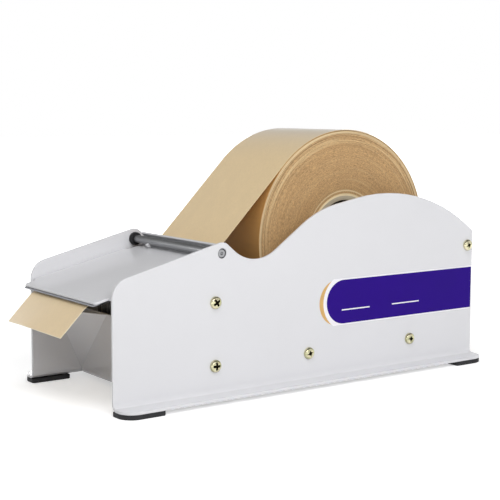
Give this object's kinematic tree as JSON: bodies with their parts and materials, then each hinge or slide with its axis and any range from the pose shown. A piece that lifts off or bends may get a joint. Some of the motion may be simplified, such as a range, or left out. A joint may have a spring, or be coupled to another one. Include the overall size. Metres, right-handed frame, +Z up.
{
  "type": "gummed tape dispenser",
  "caption": "Bench dispenser for gummed paper tape: folded side plates, hinged pressure plate with a tear blade, brush in a water tank, and a tape roll turning on rollers.",
  "frame": {"origin": "on the table under the middle of the whole length, from the end of the pulled-out tape to the rear edge of the side plates, and on the middle plane", "axes": "+X towards the rear, where the roll sits; +Y towards the operator's left side plate; +Z up"},
  "size_m": [0.3252, 0.139, 0.168],
  "materials": {
    "plate_enamel": "smooth white powder coat on folded steel sheet",
    "cover_enamel": "smooth white powder coat",
    "cradle_enamel": "smooth white powder coat",
    "tank_plastic": "moulded, satin black",
    "brush_plastic": "moulded, matt black",
    "bristle": "black nylon tufts",
    "blade_steel": "dark hardened strip steel",
    "rod_steel": "drawn bar, ground",
    "shaft_steel": "drawn bar, zinc plated",
    "roller_steel": "tube, zinc plated",
    "roller_nylon": "moulded natural nylon",
    "bush_rubber": "moulded, matt black",
    "foot_rubber": "moulded pad, matt black",
    "yellow_zinc": "yellow passivated zinc",
    "kraft_paper": "wound edges of kraft paper, matt",
    "kraft_web": "smooth kraft paper, faint sheen",
    "core_board": "wound grey board"
  },
  "bodies": {
    "frame": {"right_side_plate": "plate_enamel", "left_side_plate": "plate_enamel", "tank_cradle": "cradle_enamel", "right_corner_gusset": "cradle_enamel", "left_corner_gusset": "cradle_enamel", "water_tank": "tank_plastic", "brush_block": "brush_plastic", "brush_bristles": "bristle", "rod_bushes": "bush_rubber", "front_roller_shaft": "shaft_steel", "rear_roller_shaft": "shaft_steel", "tie_bar": "shaft_steel", "cradle_screws": "yellow_zinc", "cradle_nuts": "yellow_zinc", "roller_screws": "yellow_zinc", "tie_bar_screws": "yellow_zinc", "front_right_foot": "foot_rubber", "front_left_foot": "foot_rubber", "rear_right_foot": "foot_rubber", "rear_left_foot": "foot_rubber", "tape_web": "kraft_web"},
    "cover": {"cover_plate": "cover_enamel", "tear_blade": "blade_steel", "hinge_rod": "rod_steel", "rod_tabs": "cover_enamel"},
    "roll": {"tape_roll": "kraft_paper", "tape_core": "core_board"},
    "front_roller": {"front_roller": "roller_steel", "front_roller_bushes": "roller_nylon"},
    "rear_roller": {"rear_roller": "roller_steel", "rear_roller_bushes": "roller_nylon"}
  },
  "joints": [
    {"name": "cover_hinge", "type": "hinge", "parent": "frame", "child": "cover", "pos_m": [-0.05905, 0, 0.0924], "axis": [0, 1, 0], "range_deg": [0, 100]},
    {"name": "roll_spin", "type": "hinge", "parent": "frame", "child": "roll", "pos_m": [0.0557, 0, 0.09434], "axis": [0, 1, 0], "continuous": true},
    {"name": "front_roller_spin", "type": "hinge", "parent": "frame", "child": "front_roller", "pos_m": [0.01035, 0, 0.0215], "axis": [0, 1, 0], "continuous": true},
    {"name": "rear_roller_spin", "type": "hinge", "parent": "frame", "child": "rear_roller", "pos_m": [0.10105, 0, 0.0215], "axis": [0, 1, 0], "continuous": true}
  ],
  "couplings": [
    {"joint": "front_roller_spin", "follows": "roll_spin", "ratio": -5.84},
    {"joint": "rear_roller_spin", "follows": "roll_spin", "ratio": -5.84}
  ]
}
